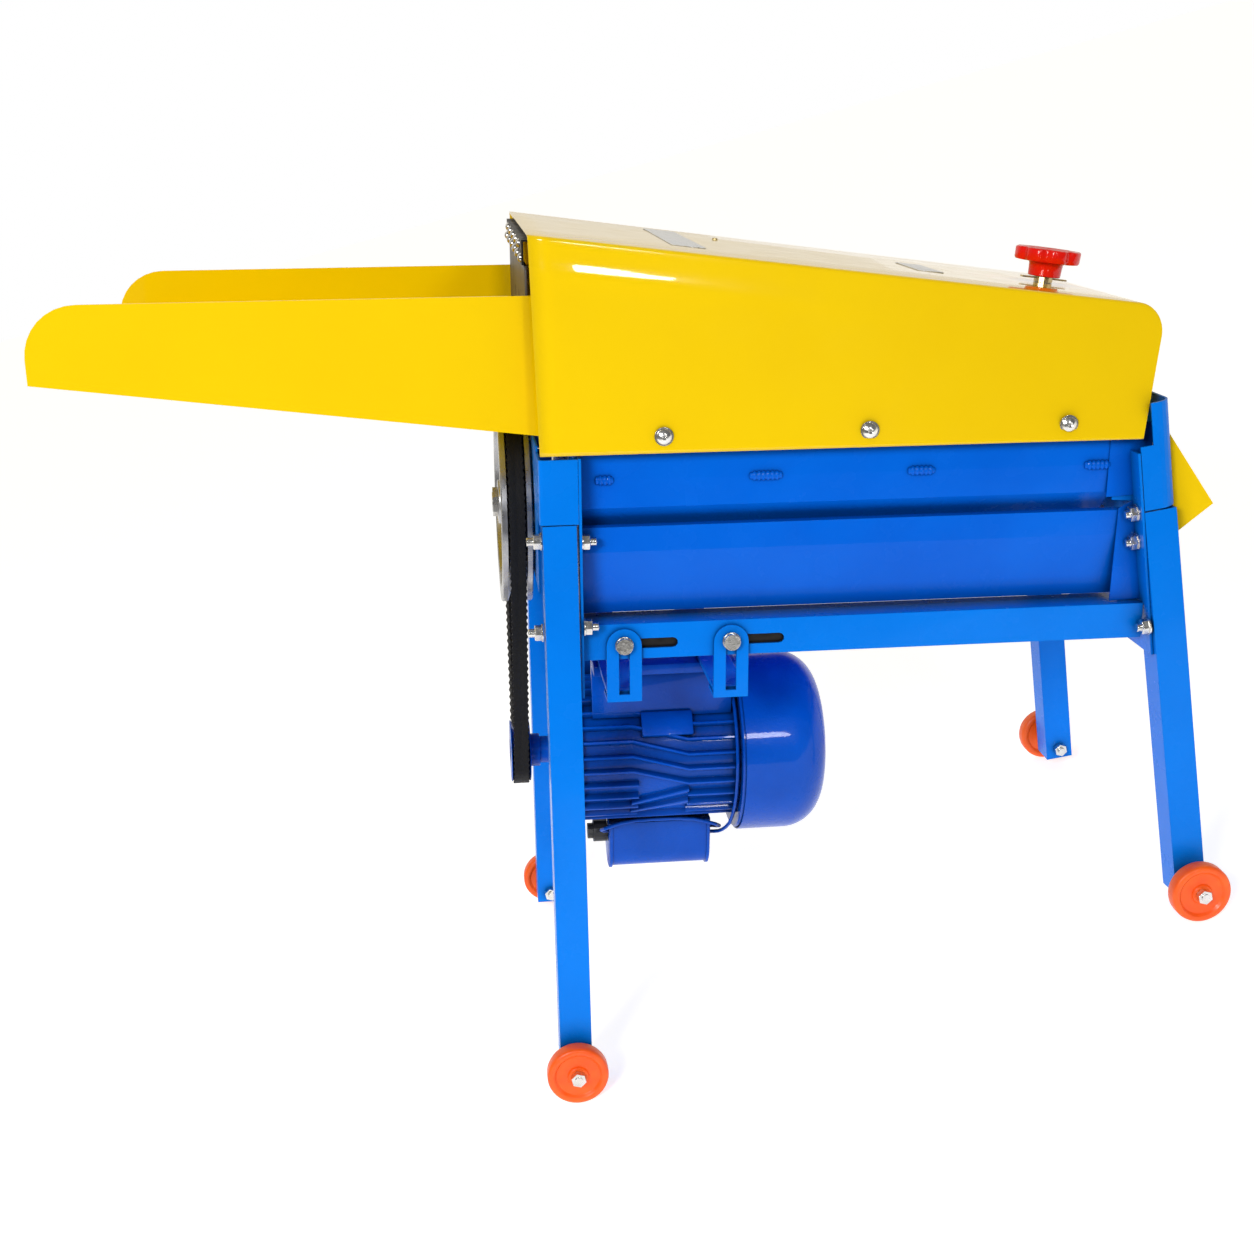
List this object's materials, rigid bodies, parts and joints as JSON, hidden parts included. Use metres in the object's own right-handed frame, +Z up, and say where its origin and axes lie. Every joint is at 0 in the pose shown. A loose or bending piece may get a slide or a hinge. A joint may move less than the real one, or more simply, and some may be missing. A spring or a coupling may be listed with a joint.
{
  "type": "electric maize sheller",
  "caption": "Electric maize sheller on small wheels: feed tray with rubber curtain, spiked drum over a sieve and grain trough, belt drive from a slung motor, cob chute.",
  "frame": {"origin": "floor level, at the middle of the machine's length and width", "axes": "+X toward the cob chute, +Y to the machine's left, +Z up"},
  "size_m": [1.0124, 0.4708, 0.8527],
  "materials": {
    "frame_blue": "glossy powder coat",
    "panel_blue": "glossy powder coat",
    "motor_blue": "semi gloss paint on cast and ribbed metal",
    "yellow": "glossy yellow enamel on sheet",
    "steel": "bare steel",
    "zinc": "bright zinc plate",
    "cast": "machined and cast iron",
    "belt": "black rubber",
    "rubber": "grey brown rubber sheet",
    "wheel_orange": "moulded orange plastic",
    "knob_red": "moulded red plastic",
    "brass": "plain brass",
    "black": "black plastic"
  },
  "bodies": {
    "frame": {"rail_right": "frame_blue", "rail_left": "frame_blue", "feed_bulkhead": "frame_blue", "chute_bulkhead": "frame_blue", "feed_end_housing": "frame_blue", "chute_end_housing": "frame_blue", "feed_leg_right": "frame_blue", "feed_leg_left": "frame_blue", "chute_leg_right": "frame_blue", "chute_leg_left": "frame_blue", "side_panel_right": "panel_blue", "side_panel_left": "panel_blue", "grain_pan": "panel_blue", "sieve": "steel", "drum_bearing_feed": "cast", "drum_bearing_chute": "cast", "drive_belt": "belt", "hood": "yellow", "feed_tray": "yellow", "curtain_strip": "cast", "cob_chute": "yellow", "feed_axle_bolt_right": "zinc", "feed_axle_bolt_left": "zinc", "chute_axle_bolt_right": "zinc", "chute_axle_bolt_left": "zinc", "strap_bolt_1_right": "zinc", "strap_bolt_1_left": "zinc", "strap_bolt_2_right": "zinc", "strap_bolt_2_left": "zinc", "knob_lock_washer": "brass"},
    "drum": {"drum_shaft": "steel", "shelling_drum": "steel", "drum_pulley": "cast", "pulley_nut": "steel"},
    "motor": {"motor_housing": "motor_blue", "motor_stator": "cast", "motor_front_shield": "motor_blue", "motor_rear_shield": "motor_blue", "fan_cowl": "motor_blue", "capacitor_box": "motor_blue", "cable_gland": "black", "capacitor_lead_1": "motor_blue", "capacitor_lead_2": "motor_blue", "motor_strap_1_right": "frame_blue", "motor_strap_1_left": "frame_blue", "motor_strap_2_right": "frame_blue", "motor_strap_2_left": "frame_blue", "motor_crossbar_1": "frame_blue", "motor_crossbar_2": "frame_blue"},
    "rotor": {"motor_rotor": "steel", "motor_pulley": "motor_blue", "cooling_fan": "black"},
    "curtain": {"infeed_curtain": "rubber"},
    "knob": {"pressure_knob": "knob_red"},
    "gate": {"pressure_gate": "steel"},
    "wheel_feed_right": {"feed_wheel_right": "wheel_orange"},
    "wheel_feed_left": {"feed_wheel_left": "wheel_orange"},
    "wheel_chute_right": {"chute_wheel_right": "wheel_orange"},
    "wheel_chute_left": {"chute_wheel_left": "wheel_orange"}
  },
  "joints": [
    {"name": "drum_turn", "type": "hinge", "parent": "frame", "child": "drum", "pos_m": [-0.1348, 0, 0.54632], "axis": [0.9694, 0, -0.2453], "continuous": true},
    {"name": "motor_height", "type": "slide", "parent": "frame", "child": "motor", "axis": [0.2453, 0, 0.9694], "range_m": [0, 0.02]},
    {"name": "rotor_turn", "type": "hinge", "parent": "motor", "child": "rotor", "pos_m": [-0.20079, 0, 0.28554], "axis": [0.9694, 0, -0.2453], "continuous": true},
    {"name": "curtain_swing", "type": "hinge", "parent": "frame", "child": "curtain", "pos_m": [-0.06343, 0, 0.7815], "axis": [0, -1, 0], "range_deg": [0, 70], "stiffness_Nm_per_rad": 0.3, "springref_deg": -6.88},
    {"name": "knob_turn", "type": "hinge", "parent": "frame", "child": "knob", "pos_m": [0.43621, 0, 0.61469], "axis": [0.3664, 0, 0.9305], "range_deg": [0, 1440]},
    {"name": "gate_lift", "type": "slide", "parent": "frame", "child": "gate", "axis": [0.3664, 0, 0.9305], "range_m": [0, 0.01]},
    {"name": "feed_wheel_right_turn", "type": "hinge", "parent": "frame", "child": "wheel_feed_right", "pos_m": [-0.22569, -0.2198, 0.03], "axis": [0, 1, 0], "continuous": true},
    {"name": "feed_wheel_left_turn", "type": "hinge", "parent": "frame", "child": "wheel_feed_left", "pos_m": [-0.22569, 0.2198, 0.03], "axis": [0, 1, 0], "continuous": true},
    {"name": "chute_wheel_right_turn", "type": "hinge", "parent": "frame", "child": "wheel_chute_right", "pos_m": [0.41214, -0.2198, 0.03], "axis": [0, 1, 0], "continuous": true},
    {"name": "chute_wheel_left_turn", "type": "hinge", "parent": "frame", "child": "wheel_chute_left", "pos_m": [0.41214, 0.2198, 0.03], "axis": [0, 1, 0], "continuous": true}
  ],
  "couplings": [
    {"joint": "rotor_turn", "follows": "drum_turn", "ratio": 3.3051},
    {"joint": "knob_turn", "follows": "gate_lift", "rad_per_m": 2510}
  ]
}
